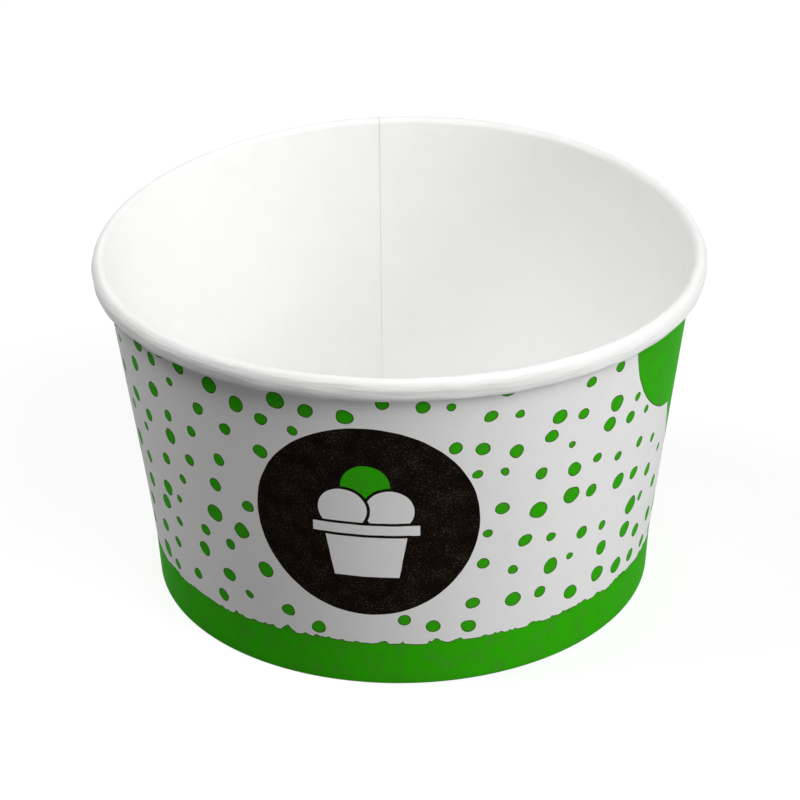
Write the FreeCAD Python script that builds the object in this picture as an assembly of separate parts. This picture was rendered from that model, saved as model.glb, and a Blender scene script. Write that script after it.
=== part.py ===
import FreeCAD, Part
import math
import os
from FreeCAD import Vector

# Paper dessert cup, made of two pieces of board: a rolled and glued side wall, and a base.
# Millimetres, +Z up. The origin is the centre of the foot, on the surface that the cup stands on.
# The lap seam of the side wall runs up the back, on the +Y side.

# Whole cup
cup_height = 57.0            # from the foot to the top of the rolled rim
rim_diameter = 97.0          # over the rolled rim
foot_diameter = 80.0         # over the foot

# Side wall
wall_board = 0.42            # thickness of its paperboard
roll_width = 2.3             # width of the rolled rim's section, which is pressed oblong
roll_height = 3.5            # height of that section
roll_tuck = 0.9              # how far the free edge runs up inside the roll
roll_play = 0.08             # play between the roll's layers
roll_tightest = 0.05         # the smallest radius that the board is bent to inside the roll
foot_lean = 3.8              # degrees that the pressed foot band leans outwards
foot_band_above_base = 0.6   # how far the pressed foot band reaches above the base

# Lap seam of the side wall
lap_width = 7.4              # overlap of the blank's two ends
lap_offset = 3.3             # from the middle of the back to the inner end of the blank
lap_ease = 3.0               # length over which the outer end comes down to one board

# Base
base_board = 0.36            # thickness of its paperboard
base_recess = 6.8            # from the foot to the underside of the base
base_bend = 0.5              # inside radius of the bend into the skirt
hem_clearance = 0.5          # from the top of the hem to the start of that bend
skirt_clearance = 0.3        # from the skirt's edge to the fold of the foot
glue_gap = 0.03              # glue line on each side of the skirt

# How finely round stretches of the sections are made, in runs for each quarter turn
inner_runs = 2               # the rolled rim, up its inner side
outer_runs = 3               # down its outer side
under_runs = 2               # and back under
fold_runs = 2                # the folds of the foot and the base

# Worked out from the sizes above
foot_radius = foot_diameter / 2
rim_radius = rim_diameter / 2
over_radius = roll_width / 2
over_centre = (rim_radius - over_radius, cup_height - over_radius)
under_radius = over_radius - (wall_board + roll_play) / 2
under_centre = (rim_radius - under_radius, cup_height - roll_height + under_radius)
lean = math.radians(foot_lean)
base_top = base_recess + base_board
band_top = base_top + foot_band_above_base
hem_top = base_recess - base_bend - hem_clearance
hem_depth = wall_board + base_board + 2 * glue_gap


def on_foot_line(depth, height):
    """The section point at a height, on the line a depth inside the foot band's outer face."""
    return (foot_radius - depth / math.cos(lean) + height * math.tan(lean), height)


def round_point(centre, radius, degrees):
    """The point on a circle at an angle, measured from outwards towards up."""
    angle = math.radians(degrees)
    return (centre[0] + radius * math.cos(angle), centre[1] + radius * math.sin(angle))


def spread(start, end, runs):
    """Angles that divide a turn evenly, both ends included."""
    return [start + (end - start) * step / runs for step in range(runs + 1)]


def round_run(centre, radius, start, end, runs):
    """Points along a circle between two angles."""
    return [round_point(centre, radius, angle) for angle in spread(start, end, runs)]


def wall_direction():
    """The lean of the wall, in degrees, at which its inside face meets the roll as a tangent."""
    start = on_foot_line(wall_board, band_top)
    across = over_centre[0] - start[0]
    up = over_centre[1] - start[1]
    to_tangent = math.asin(over_radius / math.hypot(across, up))
    return math.degrees(math.atan2(across, up) - to_tangent)


wall_lean = wall_direction()


def band_corner(depth):
    """Where the foot band turns into the wall, on the face a depth outside the inner one."""
    middle = math.radians(foot_lean + wall_lean) / 2
    mitre = depth / math.cos(math.radians(wall_lean - foot_lean) / 2)
    inner = on_foot_line(wall_board, band_top)
    return (inner[0] + mitre * math.cos(middle), inner[1] - mitre * math.sin(middle))


def roll_points(depth, end):
    """The rolled rim on one face, from the wall to the end angle.

    It goes over the top, down, and back under in a tighter bend that clears the wall. Past that
    bend it runs straight up inside the roll.
    """
    over = spread(180 - wall_lean, 90, inner_runs) + spread(90, 0, outer_runs)[1:]
    under = [angle for angle in spread(0, -180, 2 * under_runs) if angle >= end]
    inner_radius = max(under_radius - depth, roll_tightest)
    points = [round_point(over_centre, over_radius - depth, angle) for angle in over]
    points += [round_point(under_centre, inner_radius, angle) for angle in under]
    if end <= -180:
        points.append((points[-1][0], points[-1][1] + roll_tuck))
    return points


def doubled_roll_end():
    """The angle at which the roll has to stop where the board and the wall are both doubled."""
    leaning = math.radians(wall_lean)
    across = under_centre[0] - over_centre[0]
    down = over_centre[1] - under_centre[1]
    to_wall = over_radius + across * math.cos(leaning) + down * math.sin(leaning) - 2 * wall_board
    reach = max((roll_play - to_wall) / under_radius, -1)
    return -math.degrees(math.acos(reach)) - wall_lean


def board_section(inner, outer, roll_end):
    """The closed section of the side wall, from the top of the hem to the free edge in the roll.

    Inner and outer are the depths of its two faces outside the wall's usual inner face. In the
    fold of the foot, which is pressed flat, both faces keep their usual place.
    """
    wall_fold = on_foot_line(wall_board, wall_board)
    hem_fold = on_foot_line(hem_depth, wall_board)
    inside = [on_foot_line(hem_depth + inner, hem_top), hem_fold, wall_fold, band_corner(inner)]
    inside += roll_points(inner, roll_end)
    outside = [on_foot_line(hem_depth + outer, hem_top)]
    outside += round_run(hem_fold, wall_board, 180 - foot_lean, 270, fold_runs)
    outside += round_run(wall_fold, wall_board, -90, -foot_lean, fold_runs)
    outside += [band_corner(outer)] + roll_points(outer, roll_end)
    return closed(inside + outside[::-1])


def closed(points):
    """A closed outline through section points, in the plane through the cup's axis."""
    return Part.makePolygon([Vector(radius, 0, height) for radius, height in points + points[:1]])


def turned(section, degrees):
    """A copy of a section, turned about the cup's axis."""
    copy = section.copy()
    copy.rotate(Vector(0, 0, 0), Vector(0, 0, 1), degrees)
    return copy


def swept(section, start, sweep):
    """The solid that a section makes as it turns about the cup's axis."""
    return Part.Face(turned(section, start)).revolve(Vector(0, 0, 0), Vector(0, 0, 1), sweep)


def side_wall():
    """The printed blank: one board all round, two at the glued lap, and an easing beside it.

    The blank's inner end shows as a step inside the cup, and its outer end as a step outside.
    Past the inner end, the outer board eases inwards until it is the wall again.
    """
    inner_end = 90 + math.degrees(lap_offset / rim_radius)
    outer_end = inner_end - math.degrees(lap_width / rim_radius)
    eased = inner_end + math.degrees(lap_ease / rim_radius)
    single = board_section(0, wall_board, -180)
    double = board_section(0, 2 * wall_board, doubled_roll_end())
    lifted = board_section(wall_board, 2 * wall_board, -180)
    around = swept(single, eased, 360 - eased + outer_end)
    lap = swept(double, outer_end, inner_end - outer_end)
    easing = Part.makeLoft([turned(lifted, inner_end), turned(single, eased)], True, True)
    return around.fuse([lap, easing]).removeSplitter()


def base():
    """The plain disc, with its edge bent down into the skirt that the foot holds."""
    outer_depth = wall_board + glue_gap
    inner_depth = outer_depth + base_board
    skirt_edge = wall_board + skirt_clearance
    bend_centre = on_foot_line(inner_depth + base_bend, base_recess - base_bend)
    outside = [(0, base_top)]
    outside += round_run(bend_centre, base_bend + base_board, 90, -foot_lean, fold_runs)
    outside += [on_foot_line(outer_depth, skirt_edge)]
    inside = [(0, base_recess)]
    inside += round_run(bend_centre, base_bend, 90, -foot_lean, fold_runs)
    inside += [on_foot_line(inner_depth, skirt_edge)]
    return swept(closed(outside + inside[::-1]), 0, 360)


def main():
    """Build both pieces and write each one to its own file."""
    os.makedirs("parts", exist_ok=True)
    for name, shape in (("side_wall", side_wall()), ("base", base())):
        if not shape.isValid() or len(shape.Solids) != 1:
            raise RuntimeError(name + " is not one valid solid")
        shape.Solids[0].exportStep("parts/" + name + ".step")
        print(name, "volume", round(shape.Volume, 1), "faces", len(shape.Faces))


main()
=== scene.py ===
"""The looks of a paper dessert cup, built round its packed model.

Lengths are in metres. Z is up, the cup stands on Z = 0, and the front of the print faces -Y.
"""

import math

import bmesh
import bpy
import numpy as np
from mathutils import Matrix, Vector


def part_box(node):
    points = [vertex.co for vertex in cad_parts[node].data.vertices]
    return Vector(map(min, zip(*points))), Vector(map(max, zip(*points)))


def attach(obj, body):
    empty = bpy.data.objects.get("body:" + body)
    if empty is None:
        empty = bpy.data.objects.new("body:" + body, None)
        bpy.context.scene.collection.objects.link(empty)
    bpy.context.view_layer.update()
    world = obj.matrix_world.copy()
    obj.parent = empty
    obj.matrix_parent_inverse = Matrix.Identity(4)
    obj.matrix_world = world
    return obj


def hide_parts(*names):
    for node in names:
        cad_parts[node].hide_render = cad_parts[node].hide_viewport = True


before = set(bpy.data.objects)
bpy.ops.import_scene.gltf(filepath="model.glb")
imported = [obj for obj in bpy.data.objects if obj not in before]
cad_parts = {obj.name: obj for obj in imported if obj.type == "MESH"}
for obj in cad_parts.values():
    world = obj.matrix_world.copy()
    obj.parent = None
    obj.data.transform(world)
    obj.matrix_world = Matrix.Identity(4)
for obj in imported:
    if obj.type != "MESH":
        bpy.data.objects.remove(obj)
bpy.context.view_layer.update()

bl_info = {
    "name": "Paper Dessert Cup",
    "version": (1, 0, 0),
    "blender": (4, 5, 0),
    "location": "View3D > Sidebar > Dessert Cup",
    "description": "Builds a printed paper dessert cup and its studio",
    "category": "Object",
}

MM = 0.001
BODY = "root"
WALL_LOW, WALL_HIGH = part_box("side_wall")
BASE_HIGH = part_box("base")[1]
BASE_BOARD = 0.36 * MM

# How finely the pieces are divided: points on each stretch
HEM_POINTS, FOLD_POINTS, BAND_POINTS, BEND_POINTS, WALL_POINTS = 9, 7, 9, 5, 26
OVER_POINTS, DOWN_POINTS, UNDER_POINTS, BACK_POINTS, TUCK_POINTS = 9, 17, 13, 7, 4
DISC_POINTS, TURN_POINTS, SKIRT_POINTS = 40, 10, 7
LAP_TURNS, PRESSED_TURNS, EASING_TURNS, AROUND_TURNS = 6, 12, 9, 396
BASE_TURNS, FLOOR_TURNS = 241, 121
SAME_POINT = 0.0002 * MM  # points of a line that are nearer than this are one
SAME_CORNER = 0.0005 * MM  # and so are corners of the base's mesh

# How the board is pressed
FOLD_DEPTH = 0.08  # share of a second layer's depth that shows in the pressed fold
LAP_PLAY = 0.02 * MM  # between the lap's two layers
OUTER_END = 0.6  # share of the thickness at the blank's outer end
OUTER_END_TURN = 0.02  # radians from there to the whole thickness

# Where the handled board is out of true. The wall's waves grow over a rise from one height, and
# die out over a fall below the rim's top. The rim's own waves start at a reach below its top.
TRUE_BELOW = 8 * MM
WAVES_ABOVE, WAVES_RISE, WAVES_FALL = 6 * MM, 10 * MM, 8 * MM
RIM_REACH, RIM_RISE = 4.2 * MM, 0.8 * MM

# Places on the map for baking. The wall's two sides lie one above the other, with the cut
# edges in a narrow row at the top. The base's two sides are round and lie side by side.
MAP_EDGE = 0.004
SIDE_HEIGHT, SIDE_STEP = 0.47, 0.49
EDGES_LOW, EDGES_HEIGHT = 0.976, 0.018
ROUND_MIDDLES, ROUND_REACH = (0.25, 0.75), 0.24

# Colours that clouds and fibres lead to, and that the roll's painted shade leads to
BOARD_CLOUD = (0.45, 0.45, 0.45, 1)
COAT_CLOUD_AND_ROLL_SHADE = (0.5, 0.5, 0.48, 1)
FIBRE = (0.60, 0.56, 0.50, 1)
FLOOR_CLOUD = (0.7, 0.7, 0.7, 1)
WHITE = (1, 1, 1, 1)

# Print, in millimetres on the flat blank
DOT_SHAKE, FIRM_SHAKE = 0.75, 0.15  # how far the dots and the larger shapes are uneven
DOT_JITTER = 0.48  # how far dots stray from their lattice: 1 is at random
DOT_POWER = 0.9  # below 1, large dots are more common than small ones
DOT_LEFT_OUT = 9  # taken off a dot that doesn't fit
BAND_CLEAR, SHAPE_CLEAR = 0.8, 0.7  # from a dot's edge to the band and the larger shapes
TAIL_OVERLAP = 1.5  # how far the bubble's tail reaches up into the bubble
TORN_SWAY, TORN_BUMPS = 1.2, 2.7  # heights of the slow and quick waves of the band's edge
TORN_LEVEL = 0.46  # the quick noise is filled up to this
TORN_MEAN = 1.95  # taken off both waves, about their mean
SPECK_CLUSTERS = 0.3  # share of the mottle that draws specks together
INK_SPREAD = 0.03  # how far green ink runs past its edge
OUTLINE_WIDTH, OUTLINE_SOFT, OUTLINE_SHARE = 0.15, 0.08, 0.85
SCOOP_RADIUS, SCOOP_MIDDLES = 3.75, ((0, 6.9, 0), (3.6, 2.4, 0), (-3.6, 2.4, 0))
CUP_BARS = ((-1.2, 0.9, 8.2, 0.0), (-6.3, 3.75, 5.6, 0.17))  # height, half height and width, flare
PICTOGRAM_GAP = 0.5

# Fine teeth pressed into the hem, from a place past the foot's fold
TEETH_FROM, TEETH_SOFT = -1.4, 0.4  # in millimetres up the wall
TEETH_RATE = 5.4  # in radians for each millimetre along the hem
TEETH_DEPTH = 3.0  # in depths of the grain

# Finishes
BOARD_ROUGH, INK_ROUGH, COAT_ROUGH, BASE_ROUGH, EDGE_ROUGH = 0.50, 0.44, 0.36, 0.42, 0.85
PRINT_GRAIN_ROUGH, COAT_GRAIN_ROUGH = 0.12, 0.10  # added to them by the grain
PRINT_SPECULAR, COAT_SPECULAR = 0.005, 0.05
PRINT_GRAIN, COAT_GRAIN, EDGE_GRAIN = 0.012 * MM, 0.010 * MM, 0.02 * MM  # depth of the grain
INK_HEIGHT = 0.25  # in depths of the grain
ROLL_CREASES, ROLL_PAINTED_SHADE = 22.0, 0.07  # depth in depths of the grain, and share of painted shade on the roll
ROLL_CHANGE = 1.0  # millimetres over which the roll's creases and painted shade set in

# Studio
FLOOR_REACH = 6.0
EVEN_REACH, WHITE_REACH = 0.25, 1.0  # up to which the floor's lift is even, and from which full
LAMP_SIZE = 0.5
LAMP_AIM = Vector((0, 0, 0.04))
SENSOR_WIDTH = 36
CLIP_NEAR, CLIP_FAR = 0.01, 50


def length(name, description, default):
    """A size in metres, shown with the scene's length unit."""
    return bpy.props.FloatProperty(
        name=name, description=description, default=default, unit="LENGTH", precision=5
    )


def angle(name, description, degrees):
    """An angle, given in degrees and kept in radians."""
    return bpy.props.FloatProperty(
        name=name, description=description, default=math.radians(degrees), subtype="ANGLE"
    )


def colour(name, description, default):
    """A linear colour."""
    return bpy.props.FloatVectorProperty(
        name=name, description=description, default=default, subtype="COLOR", size=3, min=0, max=1
    )


def number(name, description, default, **more):
    """A plain number."""
    return bpy.props.FloatProperty(name=name, description=description, default=default, **more)


class CupSizes(bpy.types.PropertyGroup):
    """Sizes of the two pieces of board."""

    height: length("Height", "From the foot to the top of the rolled rim", WALL_HIGH.z)
    rim: length("Rim diameter", "Over the rolled rim", WALL_HIGH.y - WALL_LOW.y)
    foot: length("Foot diameter", "Over the foot", 80 * MM)
    board: length("Wall board", "Thickness of the side wall's board", 0.42 * MM)
    base_board: length("Base board", "Thickness of the base's board", BASE_BOARD)
    roll_width: length("Roll width", "Across the rolled rim's section", 2.3 * MM)
    roll_height: length("Roll height", "Height of the rolled rim's section", 3.5 * MM)
    tuck: length("Tuck", "Free edge that runs up inside the roll", 0.9 * MM)
    play: length("Play", "Between two layers of board", 0.08 * MM)
    glue: length("Glue line", "On each side of the skirt", 0.03 * MM)
    foot_lean: angle("Foot lean", "Outward lean of the pressed foot band", 3.8)
    base_under: length(
        "Base recess", "From the foot to the underside of the base", BASE_HIGH.z - BASE_BOARD
    )
    band_above: length("Band above base", "Reach of the foot band above the base", 0.6 * MM)
    bend: length("Base bend", "Inside radius of the bend into the skirt", 0.5 * MM)
    hem_clearance: length("Hem clearance", "From the hem's top to the base's bend", 0.5 * MM)
    skirt_clearance: length("Skirt clearance", "From the skirt's edge to the fold", 0.3 * MM)
    soft_bend: length("Soft bend", "Radius of the turn from foot band to wall", 14 * MM)
    lap: length("Lap", "Overlap of the blank's two ends", 7.4 * MM)
    lap_offset: length("Lap offset", "From the back's middle to the blank's inner end", 3.3 * MM)
    ease: length("Lap easing", "Length over which the outer end comes down", 3.0 * MM)
    press: length("Lap pressing", "Length over which the lap is pressed thin at its inner end", 2.4 * MM)
    pressed: number("Pressed share", "Share of the board's thickness left at that end", 0.06)
    crown: length("Base crown", "Rise of the base's middle", 0.35 * MM)


class CupWear(bpy.types.PropertyGroup):
    """How far the handled cup is out of true. The foot is true and the rim has all of it."""

    saddle: length("Saddle", "How far the rim dips at its left and right", 0.7 * MM)
    twist: length("Saddle twist", "The same between the left and the front", 0.2 * MM)
    oval: number("Ovalness", "Share by which the rim is wider from side to side", 0.002)
    ripple: length("Ripple", "Height of the wall's shallow waves", 0.05 * MM)
    rim_ripple: length("Rim ripple", "Height of the rim's small waves", 0.05 * MM)
    skew: length("Seam skew", "How far the seam's foot is turned on from its top", 0.65 * MM)


class PrintLook(bpy.types.PropertyGroup):
    """Colours of board and ink, and the sizes of the print."""

    board: colour("Board", "White of the printed side", (0.83, 0.83, 0.825))
    coat: colour("Coated board", "White of the coated side", (0.90, 0.90, 0.892))
    edge: colour("Cut edge", "Cut edge of the board", (0.74, 0.72, 0.68))
    leaf: colour("Green ink", "Ink of the dots and the band", (0.028, 0.425, 0.002))
    outline: colour("Outline", "Where the two inks overlap at a shape's edge", (0.050, 0.075, 0.012))
    dark: colour("Dark ink", "Ink of the disc", (0.0052, 0.0038, 0.0026))
    fleck: colour("Fleck", "Paper that shows through the inks", (0.15, 0.12, 0.085))
    spacing: length("Dot spacing", "From dot to dot", 5.6 * MM)
    slant: angle("Dot slant", "Turn of the dots' rows", 14)
    smallest: length("Smallest dot", "Its radius", 0.62 * MM)
    largest: length("Largest dot", "Its radius", 1.50 * MM)
    band: length("Band", "Height of the green band, up the wall", 8.2 * MM)
    disc: length("Disc", "Radius of the dark disc", 17.4 * MM)
    disc_across: length("Disc place", "From the front's middle, along the board", -5.6 * MM)
    disc_up: length("Disc height", "From the foot, up the wall", 31.1 * MM)
    bubble: length("Bubble", "Radius of the green bubble", 21.0 * MM)
    bubble_across: length("Bubble place", "From the front's middle, along the board", 61.9 * MM)
    bubble_up: length("Bubble height", "From the foot, up the wall", 51.5 * MM)
    tail: length("Bubble's tail", "How far it points down out of the bubble", 11.0 * MM)
    tail_half: length("Tail half width", "Half the width of the tail where it starts", 3.85 * MM)
    tail_across: length("Tail place", "From the bubble's middle, along the board", -2.8 * MM)


class StudioLook(bpy.types.PropertyGroup):
    """Camera, lamps and floor."""

    distance: length("Camera distance", "From the middle of the foot", 586.38 * MM)
    elevation: angle("Camera elevation", "Above the horizon", 30.916)
    aim_up: angle("Aim up", "How far above the foot the camera aims", 2.460)
    aim_right: angle("Aim right", "How far to the right it aims", -0.022)
    roll: angle("Camera roll", "Turn about its own axis", -0.766)
    focal: number("Focal length", "In millimetres, on a 36 mm sensor", 159.19)
    low: number("Low side lamp", "Power of the low lamp at the right, in watts", 3.92, min=0)
    high: number("High side lamp", "Power of the lamp over that one, in watts", 2.6, min=0)
    front: number("Front lamp", "Power of the high lamp in front, in watts", 3.62, min=0)
    left: number("Left lamp", "Power of the high lamp at the left, in watts", 5.95, min=0)
    back: number("Back lamp", "Power of the low lamp behind, in watts", 1.5, min=0)
    under: number(
        "Under lamp", "Power of the lamp that lights the base from below, in watts", 4.5, min=0
    )
    ambient: number("Ambient light", "Strength of the light from all round", 0.09, min=0)
    gap: length("Floor gap", "From the foot's outer edge to the opening in the floor", 1.1 * MM)
    floor: colour("Floor", "Colour of the floor, before it is lifted to white", (0.25, 0.25, 0.25))
    lift: number("Floor lift", "White that the camera sees on top of that colour", 0.80, min=0)


# Sections: lines in the plane through the cup's axis, as distance from the axis and height


class Line:
    """A section line that grows from end to end, with the direction to its right at each point."""

    def __init__(self):
        self.points = []
        self.sides = []

    def straight(self, start, end, count):
        """Evenly spaced points from one end to the other."""
        start, end = np.array(start), np.array(end)
        way = (end - start) / np.linalg.norm(end - start)
        share = np.linspace(0, 1, count)[:, None]
        self.points.append(start + share * (end - start))
        self.sides.append(np.tile((way[1], -way[0]), (count, 1)))

    def arc(self, centre, reach, start, end, count):
        """Points of an ellipse of half a width and half a height between two angles, from outwards
        towards up. Clockwise, the right side looks inwards, and the other way it looks out."""
        turn = np.linspace(start, end, count)[:, None]
        reach = np.array(reach) * np.ones(2)
        around = np.hstack((np.cos(turn), np.sin(turn)))
        out = around / reach
        out = out / np.linalg.norm(out, axis=1)[:, None]
        self.points.append(np.array(centre) + reach * around)
        self.sides.append(out if end > start else -out)

    def arrays(self):
        """Points, right sides and the length along the line, with no point twice."""
        points, sides = np.concatenate(self.points), np.concatenate(self.sides)
        step = np.linalg.norm(np.diff(points, axis=0), axis=1)
        keep = np.concatenate(([True], step > SAME_POINT))
        points, sides = points[keep], sides[keep]
        step = np.linalg.norm(np.diff(points, axis=0), axis=1)
        return points, sides, np.concatenate(([0], np.cumsum(step)))


def on_foot_line(cup, depth, height):
    """A point a depth inside the foot band's outer face, at a height."""
    outer = cup.foot / 2 + height * math.tan(cup.foot_lean)
    return (outer - depth / math.cos(cup.foot_lean), height)


def places(cup):
    """The section's turning points, worked out from the sizes as the packed model has them."""
    over = cup.roll_width / 2
    over_centre = np.array((cup.rim / 2 - over, cup.height - over))
    under = over - (cup.board + cup.play) / 2
    under_centre = np.array((cup.rim / 2 - under, cup.height - cup.roll_height + under))
    band_top = cup.base_under + cup.base_board + cup.band_above
    start = np.array(on_foot_line(cup, cup.board, band_top))
    across, up = over_centre - start
    lean = math.atan2(across, up) - math.asin(over / math.hypot(across, up))
    half = cup.board / 2
    middle, turn = (cup.foot_lean + lean) / 2, (lean - cup.foot_lean) / 2
    mitre = half / math.cos(turn)
    corner = start + mitre * np.array((math.cos(middle), -math.sin(middle)))
    hem_depth = cup.board + cup.base_board + 2 * cup.glue
    hem_top = cup.base_under - cup.bend - cup.hem_clearance
    return over, over_centre, under, under_centre, lean, corner, turn, hem_depth, hem_top


def wall_line(cup):
    """The middle line of the wall's board, from the hem's top to its free edge inside the roll.

    Its length is counted from where the foot band turns into the wall. Also gives how much of a
    second layer's depth shows at each point, which is little in the pressed fold and all of it
    above the foot band, and that turning point and the wall's lean.
    """
    over, over_centre, under, under_centre, lean, corner, turn, hem_depth, hem_top = places(cup)
    half = cup.board / 2
    wall_fold = np.array(on_foot_line(cup, cup.board, cup.board))
    hem_fold = np.array(on_foot_line(cup, hem_depth, cup.board))
    foot_way = np.array((math.sin(cup.foot_lean), math.cos(cup.foot_lean)))
    foot_side = np.array((foot_way[1], -foot_way[0]))
    wall_way = np.array((math.sin(lean), math.cos(lean)))
    tangent = cup.soft_bend * math.tan(turn)
    bend_centre = corner - tangent * foot_way + cup.soft_bend * foot_side
    bent = math.pi - cup.foot_lean
    line = Line()
    hem_end = hem_fold - half * foot_side
    line.straight(hem_end + foot_way * (hem_top - cup.board) / foot_way[1], hem_end, HEM_POINTS)
    line.arc(hem_fold, half, bent, 1.5 * math.pi, FOLD_POINTS)
    line.arc(wall_fold, half, -math.pi / 2, -cup.foot_lean, FOLD_POINTS)
    line.straight(wall_fold + half * foot_side, corner - tangent * foot_way, BAND_POINTS)
    line.arc(bend_centre, cup.soft_bend, bent, bent - 2 * turn, BEND_POINTS)
    roll_start = over_centre - (over - half) * np.array((math.cos(lean), -math.sin(lean)))
    line.straight(corner + tangent * wall_way, roll_start, WALL_POINTS)
    line.arc(over_centre, over - half, math.pi - lean, math.pi / 2, OVER_POINTS)
    middle = cup.height - cup.roll_height / 2
    tall = cup.roll_height / 2 - half
    line.arc((over_centre[0], middle), (over - half, tall), math.pi / 2, 0, DOWN_POINTS)
    line.arc((under_centre[0], middle), (under - half, tall), 0, -math.pi / 2, UNDER_POINTS)
    line.arc(under_centre, under - half, -math.pi / 2, -math.pi, BACK_POINTS)
    free = under_centre - (under - half, 0)
    line.straight(free, free + (0, cup.tuck), TUCK_POINTS)
    points, sides, along = line.arrays()
    lowest, highest = np.argmin(points[:, 1]), np.argmax(points[:, 1])
    rising = slice(lowest, highest + 1)
    at_corner = np.interp(corner[1], points[rising, 1], along[rising])
    at_fold = along[lowest]
    hem = np.clip((at_fold - along) / at_fold, 0, 1)
    foot = np.clip((along - at_fold) / (at_corner - at_fold), 0, 1)
    shows = np.maximum(FOLD_DEPTH, np.maximum(hem, ramp(foot, 0, 1)))
    return points, sides, along - at_corner, shows, corner, lean


def base_line(cup):
    """The middle line of the base's board, from its middle to the skirt's edge. Its disc rises
    towards the middle as a squared cosine."""
    half = cup.base_board / 2
    outer = cup.board + cup.glue
    inner = outer + cup.base_board
    centre = np.array(on_foot_line(cup, inner + cup.bend, cup.base_under - cup.bend))
    lean = cup.foot_lean
    line = Line()
    level = centre[1] + cup.bend + half
    line.straight((0, level), (centre[0], level), DISC_POINTS)
    line.arc(centre, cup.bend + half, math.pi / 2, -lean, TURN_POINTS)
    skirt = centre + (cup.bend + half) * np.array((math.cos(lean), -math.sin(lean)))
    edge = np.array(on_foot_line(cup, (outer + inner) / 2, cup.board + cup.skirt_clearance))
    line.straight(skirt, edge, SKIRT_POINTS)
    points, sides, along = line.arrays()
    rise = np.cos(np.clip(points[:, 0] / centre[0], 0, 1) * math.pi / 2) ** 2
    points[:, 1] += cup.crown * rise
    return points, sides, along


# Surfaces


def wave(azimuth, count, start, up=0.0, shift=0.0):
    """A sine with a count of waves round the cup and a start in radians. Up the cup it shifts by
    some radians for each metre."""
    return np.sin(count * azimuth + start + up * shift)


def out_of_true(cup, wear, across, up, azimuth):
    """Points of the cup as it has been handled, from their distance, height and azimuth.

    The share grows as the square of the height above the foot band. The height changes by the
    saddle times minus the cosine of twice the azimuth and the twist times its sine, and the
    distance by the oval share times that cosine. Shallow waves are sums of a few sines, and the
    rim's own waves move it half as much up and down as in and out.
    """
    share = np.clip((up - TRUE_BELOW) / (cup.height - TRUE_BELOW), 0, None) ** 2
    rise = -wear.saddle * np.cos(2 * azimuth) + wear.twist * np.sin(2 * azimuth)
    large = wave(azimuth, 3, 0.7, up, 55) + 0.7 * wave(azimuth, 5, 2.1, up, -80)
    large = large + 0.35 * wave(azimuth, 11, 4.0, up, 130)
    grown = np.clip((up - WAVES_ABOVE) / WAVES_RISE, 0, 1)
    large = large * grown * np.clip((cup.height - up) / WAVES_FALL, 0, 1)
    small = wave(azimuth, 23, 1.0) * wave(azimuth, 7, 0.4) + 0.6 * wave(azimuth, 41, 2.0)
    small = small * np.clip((up - cup.height + RIM_REACH) / RIM_RISE, 0, 1)
    distance = across * (1 + share * wear.oval * np.cos(2 * azimuth))
    distance = distance + wear.ripple * large + wear.rim_ripple * small
    height = up + share * rise - 0.5 * wear.rim_ripple * small
    return np.stack((distance * np.cos(azimuth), distance * np.sin(azimuth), height), axis=-1)


def grid_faces(first, rows, columns, flip):
    """The quads of a grid of points, row by row from its first point."""
    row, column = np.meshgrid(np.arange(rows - 1), np.arange(columns - 1), indexing="ij")
    corner = (first + row * columns + column).ravel()
    quads = np.stack((corner, corner + 1, corner + columns + 1, corner + columns), axis=-1)
    return quads[:, ::-1] if flip else quads


def strip_faces(one, other):
    """The quads between two rows of points of the same count."""
    return np.stack((one[:-1], one[1:], other[1:], other[:-1]), axis=-1)


def joined(parts):
    """The quads of several parts in one array, with each quad's material number and whether it
    is smooth."""
    faces = np.concatenate([part[0] for part in parts])
    slots = np.concatenate([np.full(len(part[0]), part[1]) for part in parts])
    smooth = np.concatenate([np.full(len(part[0]), part[2]) for part in parts])
    return faces, slots, smooth


def new_piece(name, points, faces, slots, smooth, materials, maps):
    """A mesh object from arrays of points and quads, with a material number for each quad and
    maps that give a place for each corner of each quad."""
    mesh = bpy.data.meshes.new(name)
    mesh.vertices.add(len(points))
    mesh.vertices.foreach_set("co", points.astype(np.float32).ravel())
    mesh.loops.add(faces.size)
    mesh.loops.foreach_set("vertex_index", faces.astype(np.int32).ravel())
    mesh.polygons.add(len(faces))
    mesh.polygons.foreach_set("loop_start", np.arange(0, faces.size, 4, dtype=np.int32))
    mesh.polygons.foreach_set("material_index", slots.astype(np.int32))
    mesh.polygons.foreach_set("use_smooth", smooth)
    for map_name, places_of_corners in maps.items():
        layer = mesh.uv_layers.new(name=map_name)
        layer.uv.foreach_set("vector", places_of_corners.astype(np.float32).ravel())
    for made in materials:
        mesh.materials.append(made)
    mesh.update(calc_edges=True)
    mesh.validate()
    piece = bpy.data.objects.new(name, mesh)
    bpy.context.scene.collection.objects.link(piece)
    return piece


def ramp(value, low, high):
    """0 below one value and 1 above another, and smooth between."""
    share = np.clip((value - low) / (high - low), 0, 1)
    return share * share * (3 - 2 * share)


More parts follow.
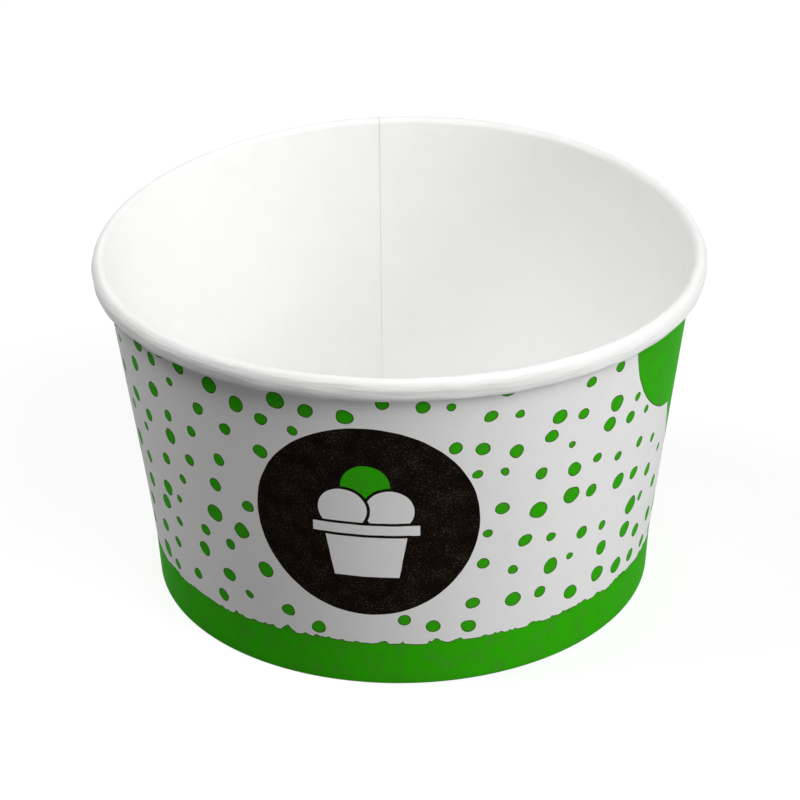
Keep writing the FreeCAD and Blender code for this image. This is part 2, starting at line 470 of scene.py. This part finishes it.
def sheet_turns(cup):
    """The azimuths of the blank from its outer end, round the cup, to its inner end, with how deep
    under the inner layer it lies and how thick it is at each, as shares of its board.

    At the lap, both layers are whole until the inner end is near. There they are pressed thin
    together, and past it the outer layer comes in until it is the wall.
    """
    radius = cup.rim / 2
    inner = math.pi / 2 + cup.lap_offset / radius
    outer = inner - cup.lap / radius
    pressing = inner - cup.press / radius
    eased = inner + cup.ease / radius
    lap = np.linspace(outer, pressing, LAP_TURNS)[:-1]
    lap = np.concatenate((lap, np.linspace(pressing, inner, PRESSED_TURNS)))
    easing = np.linspace(inner, eased, EASING_TURNS)[:-1]
    around = np.linspace(eased, 2 * math.pi + outer, AROUND_TURNS)[:-1]
    turns = np.concatenate((lap[:-1], easing, around, lap + 2 * math.pi))

    def left(turn):
        """The share of a layer's thickness that is left in the lap, and none past it."""
        thin = 1 - (1 - cup.pressed) * ramp(turn, pressing, inner)
        return thin * (1 - ramp(turn, inner, eased))

    grown = OUTER_END + (1 - OUTER_END) * ramp(turns, outer, outer + OUTER_END_TURN)
    thickness = left(turns - 2 * math.pi) * grown
    return turns, left(turns) * (1 + LAP_PLAY / cup.board), thickness


def wall_surface(cup, wear, materials):
    """The side wall: the board's middle line carried round the axis as one sheet.

    A point is the line's point at a length along it, moved to the right by the layer's depth
    and by half a board's thickness to either side, and turned by the azimuth, which grows
    towards the foot by the seam's skew. Its printed place is its place on the flat blank, which
    is a cone rolled out: the distance from the cone's tip, and the azimuth times the sine of
    the cone's lean.
    """
    points, sides, along, shows, corner, lean = wall_line(cup)
    turns, depth, thickness = sheet_turns(cup)
    rows, columns = len(points), len(turns)
    layer = (depth[None, :] * shows[:, None] - 0.5) * cup.board
    azimuth = turns[None, :] + wear.skew / corner[0] * (1 - points[:, 1:] / cup.height)
    faces_of_board = []
    for shift in (layer, layer + thickness[None, :] * cup.board):
        across = points[:, :1] + sides[:, :1] * shift
        up = points[:, 1:] + sides[:, 1:] * shift
        faces_of_board.append(out_of_true(cup, wear, across, up, azimuth).reshape(-1, 3))
    everything = np.concatenate(faces_of_board)
    size = rows * columns
    inside = np.arange(size).reshape(rows, columns)
    outside = inside + size
    faces, slots, smooth = joined(
        [
            (grid_faces(size, rows, columns, False), 0, True),
            (grid_faces(0, rows, columns, True), 1, True),
            (strip_faces(inside[0], outside[0]), 2, False),
            (strip_faces(outside[-1], inside[-1]), 2, False),
            (strip_faces(outside[:, 0], inside[:, 0]), 2, False),
            (strip_faces(inside[:, -1], outside[:, -1]), 2, False),
        ]
    )
    tip = corner[0] / math.sin(lean)
    from_tip = (tip + along)[:, None] + 0 * turns[None, :]
    spread = (azimuth - 1.5 * math.pi) * math.sin(lean)
    foot_along = along[np.argmin(points[:, 1])]
    blank = np.stack(
        (from_tip * np.sin(spread), from_tip * np.cos(spread) - tip - foot_along), axis=-1
    )
    up_wall = np.stack((spread * tip, from_tip - tip - foot_along), axis=-1)
    across_map = np.linspace(MAP_EDGE, 1 - MAP_EDGE, columns)[None, :]
    up_map = MAP_EDGE + SIDE_HEIGHT * (along - along[0]) / (along[-1] - along[0])
    flat = np.stack(np.broadcast_arrays(across_map, up_map[:, None]), axis=-1).reshape(-1, 2)
    maps = {
        "blank": np.concatenate((blank.reshape(-1, 2),) * 2)[faces] / MM,
        "up_wall": np.concatenate((up_wall.reshape(-1, 2),) * 2)[faces] / MM,
        "OFBake": np.concatenate((flat, flat + (0, SIDE_STEP)))[faces],
    }
    edges = slots == 2
    ticks = np.linspace(MAP_EDGE, 1 - MAP_EDGE, int(edges.sum()) + 1)
    across_map = np.stack((ticks[:-1], ticks[1:], ticks[1:], ticks[:-1]), axis=-1)
    up_map = EDGES_LOW + EDGES_HEIGHT * np.array((0, 0, 1, 1)) + 0 * across_map
    maps["OFBake"][edges] = np.stack((across_map, up_map), axis=-1)
    return new_piece("side_wall_board", everything, faces, slots, smooth, materials, maps)


def base_surface(cup, materials):
    """The base: its middle line turned about the axis, half a board's thickness to either side.

    Its points at the axis are then merged into one pole, and so are the two ends of each ring.
    """
    points, sides, along = base_line(cup)
    turns = np.linspace(0, 2 * math.pi, BASE_TURNS)
    rows, columns = len(points), len(turns)
    both, flat = [], []
    for side, middle in zip((-0.5, 0.5), ROUND_MIDDLES):
        across = points[:, :1] + sides[:, :1] * side * cup.base_board
        up = points[:, 1:] + sides[:, 1:] * side * cup.base_board
        ring = np.broadcast_arrays(across * np.cos(turns), across * np.sin(turns), up)
        both.append(np.stack(ring, axis=-1).reshape(-1, 3))
        share = (along / along[-1])[:, None] * ROUND_REACH
        ring = np.broadcast_arrays(middle + share * np.cos(turns), 0.5 + share * np.sin(turns))
        flat.append(np.stack(ring, axis=-1).reshape(-1, 2))
    size = rows * columns
    above = np.arange(size).reshape(rows, columns)
    faces, slots, smooth = joined(
        [
            (grid_faces(0, rows, columns, True), 0, True),
            (grid_faces(size, rows, columns, False), 0, True),
            (strip_faces(above[-1] + size, above[-1]), 1, False),
        ]
    )
    maps = {"OFBake": np.concatenate(flat)[faces]}
    piece = new_piece("base_disc", np.concatenate(both), faces, slots, smooth, materials, maps)
    work = bmesh.new()
    work.from_mesh(piece.data)
    bmesh.ops.remove_doubles(work, verts=work.verts, dist=SAME_CORNER)
    work.to_mesh(piece.data)
    work.free()
    return piece


def floor_surface(opening, reach, materials):
    """The floor: a flat ring round the cup's foot, from the radius of its opening to its reach.

    The opening is under the cup, where only the lamp below sees it.
    """
    turns = np.linspace(0, 2 * math.pi, FLOOR_TURNS)
    radius = np.array((opening, 3 * opening, reach))[:, None]
    ring = np.broadcast_arrays(radius * np.cos(turns), radius * np.sin(turns), 0 * radius)
    points = np.stack(ring, axis=-1).reshape(-1, 3)
    faces, slots, smooth = joined([(grid_faces(0, len(radius), len(turns), True), 0, False)])
    return new_piece("studio_floor", points, faces, slots, smooth, materials, {})


# Materials


class Recipe:
    """The nodes of one material or world, joined as they are added."""

    def __init__(self, owner):
        self.owner = owner
        owner.use_nodes = True
        self.tree = owner.node_tree
        self.tree.nodes.clear()

    def add(self, kind, inputs=None, **settings):
        """A node with its settings, and a value or another node's output at its inputs."""
        made = self.tree.nodes.new("ShaderNode" + kind)
        for name, value in settings.items():
            setattr(made, name, value)
        for name, value in (inputs or {}).items():
            if isinstance(value, bpy.types.NodeSocket):
                self.tree.links.new(value, made.inputs[name])
            else:
                made.inputs[name].default_value = value
        return made

    def sum(self, operation, *values, clamp=False):
        """A number worked out from one to three others."""
        made = self.add("Math", dict(enumerate(values)), operation=operation, use_clamp=clamp)
        return made.outputs[0]

    def place(self, operation, *values):
        """A place worked out from others, or a distance between them."""
        made = self.add("VectorMath", dict(enumerate(values)), operation=operation)
        return made.outputs["Value" if operation in ("DISTANCE", "LENGTH") else "Vector"]

    def flat_map(self, name):
        """The piece's own map of that name."""
        return self.add("UVMap", uv_map=name).outputs[0]

    def own_place(self):
        """The place on the piece itself, in millimetres."""
        inputs = {0: self.add("TexCoord").outputs["Object"], "Scale": 1 / MM}
        return self.add("VectorMath", inputs, operation="SCALE").outputs["Vector"]

    def turned(self, where, turn):
        """A place turned about the map's origin."""
        inputs = {"Vector": where, "Angle": turn}
        return self.add("VectorRotate", inputs, rotation_type="Z_AXIS").outputs[0]

    def noise(self, where, scale, detail=2.0, roughness=0.5, output="Fac", flat=True):
        """Smooth noise of a scale in features per unit."""
        inputs = {"Vector": where, "Scale": scale, "Detail": detail, "Roughness": roughness}
        size = "2D" if flat else "3D"
        return self.add("TexNoise", inputs, noise_dimensions=size).outputs[output]

    def between(self, value, low, high, new_low=0.0, new_high=1.0):
        """A value brought from one range to another, and held inside it."""
        inputs = {"Value": value, "From Min": low, "From Max": high}
        inputs.update({"To Min": new_low, "To Max": new_high})
        return self.add("MapRange", inputs).outputs[0]

    def inside(self, distance, reach, soft=0.05):
        """1 where a distance is less than a reach and 0 past it, with a soft edge."""
        left = self.sum("SUBTRACT", reach, distance)
        return self.sum("MULTIPLY_ADD", left, 1 / soft, 0.5, clamp=True)

    def mix(self, share, one, other):
        """One colour where the share is 0, and the other where it is 1."""
        return self.add("Mix", {0: share, 6: one, 7: other}, data_type="RGBA").outputs[2]

    def tint(self, colour, other, value, low, high, share=1.0):
        """A colour that goes a share of the way to another as a value goes from low to high."""
        return self.mix(self.between(value, low, high, 0, share), colour, other)

    def finish(self, colour, roughness, height, depth, specular=0.5):
        """The surface, with a height map of a depth in metres."""
        bump = self.add("Bump", {"Height": height, "Distance": depth, "Strength": 1.0})
        inputs = {"Base Color": colour, "Roughness": roughness, "Normal": bump.outputs[0]}
        surface = self.add("BsdfPrincipled", {**inputs, "Specular IOR Level": specular})
        self.add("OutputMaterial", {"Surface": surface.outputs[0]})
        return self.owner


def opaque(colour):
    """A colour with full alpha, for a node's input."""
    return (*colour, 1.0)


def disc_shape(recipe, look, place):
    """How far a place lies outside the dark disc, in millimetres."""
    middle = (look.disc_across / MM, look.disc_up / MM, 0)
    return recipe.sum("SUBTRACT", recipe.place("DISTANCE", place, middle), look.disc / MM)


def bubble_shape(recipe, look, place):
    """How far a place lies outside the bubble, whose tail is a wedge that points down."""
    middle = (look.bubble_across / MM, look.bubble_up / MM, 0)
    ball = recipe.sum("SUBTRACT", recipe.place("DISTANCE", place, middle), look.bubble / MM)
    start = ((look.bubble_across + look.tail_across) / MM, (look.bubble_up - look.bubble) / MM, 0)
    split = recipe.add("SeparateXYZ", {0: recipe.place("SUBTRACT", place, start)})
    across, up = recipe.sum("ABSOLUTE", split.outputs[0]), split.outputs[1]
    half = recipe.sum("MULTIPLY_ADD", up, look.tail_half / look.tail, look.tail_half / MM)
    side = recipe.sum("SUBTRACT", across, half)
    above = recipe.sum("SUBTRACT", up, TAIL_OVERLAP)
    return recipe.sum("MINIMUM", ball, recipe.sum("MAXIMUM", side, above))


def dots(recipe, look, where, tip):
    """Scattered round dots that keep clear of the disc, the bubble and the band: how far a place
    lies from its dot's middle, and the dot's radius.

    Each cell of a jittered lattice holds one dot. The dot's radius comes from the cell's own
    random number, and it is left out where its edge would come too near another shape.
    """
    spacing = look.spacing / MM
    lattice = recipe.turned(where, look.slant)
    inputs = {"Vector": lattice, "Scale": 1 / spacing, "Randomness": DOT_JITTER}
    cells = recipe.add("TexVoronoi", inputs, voronoi_dimensions="2D", feature="F1")
    chance = recipe.add("SeparateColor", {0: cells.outputs["Color"]}).outputs[0]
    smallest, largest = look.smallest / MM, look.largest / MM
    radius = recipe.between(recipe.sum("POWER", chance, DOT_POWER), 0, 1, smallest, largest)
    spot = recipe.turned(cells.outputs["Position"], -look.slant)
    from_tip = recipe.place("LENGTH", recipe.place("ADD", spot, (0, tip, 0)))
    room = recipe.sum("SUBTRACT", from_tip, tip + look.band / MM + BAND_CLEAR)
    for shape in (disc_shape, bubble_shape):
        away = recipe.sum("SUBTRACT", shape(recipe, look, spot), SHAPE_CLEAR)
        room = recipe.sum("MINIMUM", room, away)
    radius = recipe.sum("MINIMUM", radius, room)
    unfit = recipe.sum("SUBTRACT", recipe.sum("GREATER_THAN", radius, smallest), 1)
    reach = recipe.sum("MULTIPLY_ADD", unfit, DOT_LEFT_OUT, radius)
    return recipe.sum("MULTIPLY", cells.outputs["Distance"], spacing), reach


def torn_band(recipe, look, up_wall):
    """How far up the wall a place is, and how far the band reaches there.

    The band's edge is a slow and a quick noise along the board. The quick one also changes a
    little up the wall, so that the edge looks torn.
    """
    slow = recipe.noise(recipe.place("MULTIPLY", up_wall, (1, 0, 0)), scale=0.12, detail=1.0)
    quick = recipe.noise(recipe.place("MULTIPLY", up_wall, (1, 0.3, 0)), scale=0.50, detail=1.8)
    bumps = recipe.sum("MULTIPLY", recipe.sum("MAXIMUM", quick, TORN_LEVEL), TORN_BUMPS)
    waves = recipe.sum("MULTIPLY_ADD", slow, TORN_SWAY, bumps)
    edge = recipe.sum("ADD", waves, look.band / MM - TORN_MEAN)
    return recipe.add("SeparateXYZ", {0: up_wall}).outputs[1], edge


def pictogram(recipe, place):
    """A plain cup with three scoops, as shares of bare board and of green ink.

    Each shape is drawn over the ones before it, with a gap cut round it.
    """
    split = recipe.add("SeparateXYZ", {0: place})
    across = recipe.sum("ABSOLUTE", split.outputs[0])
    shapes = []
    for middle in SCOOP_MIDDLES:
        away = recipe.place("DISTANCE", place, middle)
        shapes.append(recipe.sum("SUBTRACT", away, SCOOP_RADIUS))
    for middle, half, width, flare in CUP_BARS:
        up = recipe.sum("SUBTRACT", split.outputs[1], middle)
        tall = recipe.sum("SUBTRACT", recipe.sum("ABSOLUTE", up), half)
        side = recipe.sum("SUBTRACT", across, recipe.sum("MULTIPLY_ADD", up, flare, width))
        shapes.append(recipe.sum("MAXIMUM", tall, side))
    bare, green = 0.0, recipe.inside(shapes[0], 0)
    for shape in shapes[1:]:
        around = recipe.sum("SUBTRACT", 1, recipe.inside(shape, PICTOGRAM_GAP))
        green = recipe.sum("MULTIPLY", green, around)
        bare = recipe.sum("MAXIMUM", recipe.sum("MULTIPLY", bare, around), recipe.inside(shape, 0))
    return bare, green


def pressed_teeth(recipe, up_wall):
    """The height of the fine teeth across the hem, in depths of the grain."""
    split = recipe.add("SeparateXYZ", {0: up_wall})
    below = recipe.inside(split.outputs[1], TEETH_FROM, TEETH_SOFT)
    teeth = recipe.sum("SINE", recipe.sum("MULTIPLY", split.outputs[0], TEETH_RATE))
    return recipe.sum("MULTIPLY", recipe.sum("MULTIPLY", teeth, below), TEETH_DEPTH)


def printed_board(look, tip):
    """Satin white board with the print: dots, a dark disc, a green bubble and a torn-edged band.

    Green ink is darker along its outline, and specks of paper show through both inks.
    """
    recipe = Recipe(bpy.data.materials.new("printed_board"))
    blank = recipe.flat_map("blank")
    up_wall = recipe.flat_map("up_wall")
    shaky = recipe.noise(blank, scale=0.26, detail=1.0, output="Color")
    shift = recipe.place("SUBTRACT", shaky, (0.5, 0.5, 0.5))
    where = recipe.place("MULTIPLY_ADD", shift, (DOT_SHAKE, DOT_SHAKE, 0), blank)
    firm = recipe.place("MULTIPLY_ADD", shift, (FIRM_SHAKE, FIRM_SHAKE, 0), blank)
    shapes = (
        dots(recipe, look, where, tip),
        (bubble_shape(recipe, look, firm), 0.0),
        torn_band(recipe, look, up_wall),
    )
    green, outline = 0.0, 0.0
    for distance, size in shapes:
        whole = recipe.inside(distance, recipe.sum("ADD", size, INK_SPREAD))
        core = recipe.inside(distance, recipe.sum("SUBTRACT", size, OUTLINE_WIDTH), OUTLINE_SOFT)
        green = recipe.sum("MAXIMUM", green, whole)
        outline = recipe.sum("MAXIMUM", outline, recipe.sum("SUBTRACT", whole, core))
    middle = (look.disc_across / MM, look.disc_up / MM, 0)
    dark = recipe.inside(disc_shape(recipe, look, firm), 0)
    bare, scoop = pictogram(recipe, recipe.place("SUBTRACT", firm, middle))
    mottle = recipe.noise(blank, scale=0.35, detail=3.0, roughness=0.6)
    grain = recipe.noise(blank, scale=3.2, detail=2.0, roughness=0.6)
    specks = recipe.noise(blank, scale=3.3, detail=2.0, roughness=0.6)
    specks = recipe.sum("MULTIPLY_ADD", mottle, SPECK_CLUSTERS, specks)
    edging, fleck = opaque(look.outline), opaque(look.fleck)
    board = recipe.tint(opaque(look.board), BOARD_CLOUD, mottle, low=0.35, high=0.65, share=0.035)
    leaf = recipe.tint(opaque(look.leaf), edging, mottle, low=0.3, high=0.7, share=0.14)
    leaf = recipe.tint(leaf, fleck, specks, low=0.75, high=0.85, share=0.55)
    leaf = recipe.mix(recipe.sum("MULTIPLY", outline, OUTLINE_SHARE), leaf, edging)
    night = recipe.tint(opaque(look.dark), fleck, mottle, low=0.35, high=0.7, share=0.03)
    night = recipe.tint(night, fleck, specks, low=0.74, high=0.87, share=0.30)
    night = recipe.mix(bare, recipe.mix(scoop, night, leaf), board)
    colour = recipe.mix(dark, recipe.mix(green, board, leaf), night)
    inked = recipe.sum("MAXIMUM", green, dark)
    rough = recipe.between(inked, 0, 1, BOARD_ROUGH, INK_ROUGH)
    rough = recipe.sum("MULTIPLY_ADD", grain, PRINT_GRAIN_ROUGH, rough)
    height = recipe.sum("MULTIPLY_ADD", inked, INK_HEIGHT, grain)
    height = recipe.sum("ADD", height, pressed_teeth(recipe, up_wall))
    return recipe.finish(colour, rough, height, PRINT_GRAIN, PRINT_SPECULAR)


def coated_board(look, name, roughness, roll_start=None):
    """White board under a thin clear coating: faint clouds, fine grain and a soft shine.

    Past the start of the rolled rim, up the wall, the coating is painted a little greyer as
    painted shade, and has fine creases along the roll.
    """
    recipe = Recipe(bpy.data.materials.new(name))
    where = recipe.own_place()
    clouds = recipe.noise(where, scale=0.22, detail=3.0, roughness=0.6, flat=False)
    grain = recipe.noise(where, scale=2.6, detail=2.0, roughness=0.55, flat=False)
    colour = recipe.tint(opaque(look.coat), COAT_CLOUD_AND_ROLL_SHADE, clouds, low=0.35, high=0.65, share=0.03)
    rough = recipe.sum("MULTIPLY_ADD", grain, COAT_GRAIN_ROUGH, roughness)
    height = grain
    if roll_start is not None:
        up_wall = recipe.flat_map("up_wall")
        stretched = recipe.place("MULTIPLY", up_wall, (0.10, 0.85, 0))
        creases = recipe.noise(stretched, scale=1.0, detail=3.0, roughness=0.55)
        up = recipe.add("SeparateXYZ", {0: up_wall}).outputs[1]
        rolled = recipe.between(up, roll_start, roll_start + ROLL_CHANGE)
        deep = recipe.sum("MULTIPLY", rolled, ROLL_CREASES)
        height = recipe.sum("MULTIPLY_ADD", creases, deep, grain)
        # Painted shade: on the roll the coating's colour is greyed by a share, standing in for the rim's
        # shading
        colour = recipe.mix(recipe.sum("MULTIPLY", rolled, ROLL_PAINTED_SHADE), colour, COAT_CLOUD_AND_ROLL_SHADE)
    return recipe.finish(colour, rough, height, COAT_GRAIN, COAT_SPECULAR)


def cut_edge(look):
    """The cut edge of the board: bare fibres in fine layers."""
    recipe = Recipe(bpy.data.materials.new("cut_edge"))
    fibres = recipe.noise(recipe.own_place(), scale=9.0, detail=3.0, roughness=0.7, flat=False)
    colour = recipe.tint(opaque(look.edge), FIBRE, fibres, low=0.3, high=0.7)
    return recipe.finish(colour, EDGE_ROUGH, fibres, EDGE_GRAIN)


def seen_directly(recipe):
    """One where the camera sees a surface, also in a reflection or through glass, and else zero."""
    path = recipe.add("LightPath").outputs
    seen = recipe.sum("ADD", path["Is Camera Ray"], path["Is Glossy Ray"])
    return recipe.sum("ADD", seen, path["Is Transmission Ray"])


def floor_finish(look):
    """Plain matt floor. The camera and reflections see it lifted to white where nothing shades it,
    and wholly white from a metre away. It is clear from below."""
    recipe = Recipe(bpy.data.materials.new("studio_floor"))
    where = recipe.add("TexCoord").outputs["Object"]
    tone = recipe.noise(where, scale=6.0, flat=False)
    colour = recipe.tint(opaque(look.floor), FLOOR_CLOUD, tone, low=0.3, high=0.7, share=0.01)
    matt = recipe.add("BsdfDiffuse", {"Color": colour})
    away = recipe.place("LENGTH", where)
    glow = recipe.between(away, EVEN_REACH, WHITE_REACH, look.lift, 1.0)
    white = recipe.sum("MULTIPLY", seen_directly(recipe), glow)
    lift = recipe.add("Emission", {"Color": WHITE, "Strength": white})
    both = recipe.add("AddShader", {0: matt.outputs[0], 1: lift.outputs[0]})
    clear = recipe.add("BsdfTransparent")
    side = recipe.add("NewGeometry").outputs["Backfacing"]
    surface = recipe.add("MixShader", {0: side, 1: both.outputs[0], 2: clear.outputs[0]})
    recipe.add("OutputMaterial", {"Surface": surface.outputs[0]})
    return recipe.owner


# Studio


def camera_matrix(look):
    """The camera's place and turn: it stands in front, aims at the foot's middle, and is then
    tipped up, panned and rolled about its own axes."""
    place = look.distance * Vector((0, -math.cos(look.elevation), math.sin(look.elevation)))
    ahead = -place.normalized()
    right = Vector((1, 0, 0))
    up = right.cross(ahead)
    ahead = (ahead + up * math.tan(look.aim_up) + right * math.tan(look.aim_right)).normalized()
    right = ahead.cross(up).normalized()
    up = right.cross(ahead)
    cosine, sine = math.cos(look.roll), math.sin(look.roll)
    right, up = right * cosine + up * sine, up * cosine - right * sine
    matrix = Matrix((right, up, -ahead)).transposed().to_4x4()
    matrix.translation = place
    return matrix


def lamp(name, power, azimuth, elevation):
    """A square soft lamp a metre from the cup's middle, in degrees from the front to the right
    and above the horizon."""
    data = bpy.data.lights.new(name, "AREA")
    data.shape = "SQUARE"
    data.size = LAMP_SIZE
    data.energy = power
    made = bpy.data.objects.new(name, data)
    across, up = math.radians(azimuth), math.radians(elevation)
    way = Vector((math.sin(across) * math.cos(up), -math.cos(across) * math.cos(up), math.sin(up)))
    made.location = way + LAMP_AIM
    made.rotation_euler = (-way).to_track_quat("-Z", "Y").to_euler()
    bpy.context.scene.collection.objects.link(made)


def white_world(strength):
    """An even light from all round, which the camera and reflections see as white."""
    recipe = Recipe(bpy.data.worlds.new("studio_world"))
    bpy.context.scene.world = recipe.owner
    light = recipe.add("Background", {"Strength": strength}).outputs[0]
    white = recipe.add("Background", {"Color": WHITE}).outputs[0]
    mixed = recipe.add("MixShader", {0: seen_directly(recipe), 1: light, 2: white})
    recipe.add("OutputWorld", {"Surface": mixed.outputs[0]})


# Operators


class OBJECT_OT_cup_side_wall(bpy.types.Operator):
    """Build the printed side wall with its rolled rim, lap seam and folded foot"""

    bl_idname = "object.cup_side_wall"
    bl_label = "Side Wall"

    def execute(self, context):
        cup, look = context.scene.cup_sizes, context.scene.cup_print
        points, _, along, _, corner, lean = wall_line(cup)
        foot_along = along[np.argmin(points[:, 1])]
        tip = (corner[0] / math.sin(lean) + foot_along) / MM
        in_roll = points[:, 1] > cup.height - cup.roll_width / 2
        roll_start = (along[np.argmax(in_roll)] - foot_along) / MM
        materials = [
            printed_board(look, tip),
            coated_board(look, "coated_board", COAT_ROUGH, roll_start),
            cut_edge(look),
        ]
        piece = wall_surface(cup, context.scene.cup_wear, materials)
        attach(piece, BODY)
        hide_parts("side_wall")
        return {"FINISHED"}


class OBJECT_OT_cup_base(bpy.types.Operator):
    """Build the plain base, with its skirt between the side wall and the hem"""

    bl_idname = "object.cup_base"
    bl_label = "Base"

    def execute(self, context):
        look = context.scene.cup_print
        materials = [coated_board(look, "plain_board", BASE_ROUGH), cut_edge(look)]
        piece = base_surface(context.scene.cup_sizes, materials)
        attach(piece, BODY)
        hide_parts("base")
        return {"FINISHED"}


class SCENE_OT_cup_studio(bpy.types.Operator):
    """Set up the floor, the lamps, the background and the camera"""

    bl_idname = "scene.cup_studio"
    bl_label = "Studio"

    def execute(self, context):
        look = context.scene.cup_studio
        opening = context.scene.cup_sizes.foot / 2 - look.gap
        floor_surface(opening, FLOOR_REACH, [floor_finish(look)])
        lamp("low_side_lamp", look.low, azimuth=60, elevation=15)
        lamp("high_side_lamp", look.high, azimuth=60, elevation=35)
        lamp("front_lamp", look.front, azimuth=30, elevation=50)
        lamp("left_lamp", look.left, azimuth=270, elevation=55)
        lamp("back_lamp", look.back, azimuth=180, elevation=6)
        lamp("under_lamp", look.under, azimuth=0, elevation=-90)
        white_world(look.ambient)
        data = bpy.data.cameras.new("studio_camera")
        data.sensor_width = SENSOR_WIDTH
        data.lens = look.focal
        data.clip_start, data.clip_end = CLIP_NEAR, CLIP_FAR
        camera = bpy.data.objects.new("studio_camera", data)
        camera.matrix_world = camera_matrix(look)
        context.scene.collection.objects.link(camera)
        context.scene.camera = camera
        context.scene.view_settings.view_transform = "Standard"
        return {"FINISHED"}


class VIEW3D_PT_dessert_cup(bpy.types.Panel):
    """The cup's sizes and looks, and the buttons that build it"""

    bl_label = "Dessert Cup"
    bl_idname = "VIEW3D_PT_dessert_cup"
    bl_space_type = "VIEW_3D"
    bl_region_type = "UI"
    bl_category = "Dessert Cup"

    def draw(self, context):
        for title, group in GROUPS.items():
            box = self.layout.box()
            box.label(text=group.__doc__.split(".")[0])
            settings = getattr(context.scene, title)
            for key in group.__annotations__:
                box.prop(settings, key)
        for operator in OPERATORS:
            self.layout.operator(operator.bl_idname)


GROUPS = {
    "cup_sizes": CupSizes,
    "cup_wear": CupWear,
    "cup_print": PrintLook,
    "cup_studio": StudioLook,
}
OPERATORS = (OBJECT_OT_cup_side_wall, OBJECT_OT_cup_base, SCENE_OT_cup_studio)


def register():
    """Make settings, buttons and panel known to Blender."""
    for made in (*GROUPS.values(), *OPERATORS, VIEW3D_PT_dessert_cup):
        bpy.utils.register_class(made)
    for name, group in GROUPS.items():
        setattr(bpy.types.Scene, name, bpy.props.PointerProperty(type=group))


def unregister():
    """Take them away again."""
    for name in GROUPS:
        delattr(bpy.types.Scene, name)
    for made in reversed((*GROUPS.values(), *OPERATORS, VIEW3D_PT_dessert_cup)):
        bpy.utils.unregister_class(made)


def main():
    """Build the cup and its studio."""
    register()
    bpy.ops.object.cup_side_wall()
    bpy.ops.object.cup_base()
    bpy.ops.scene.cup_studio()


if __name__ == "__main__":
    main()
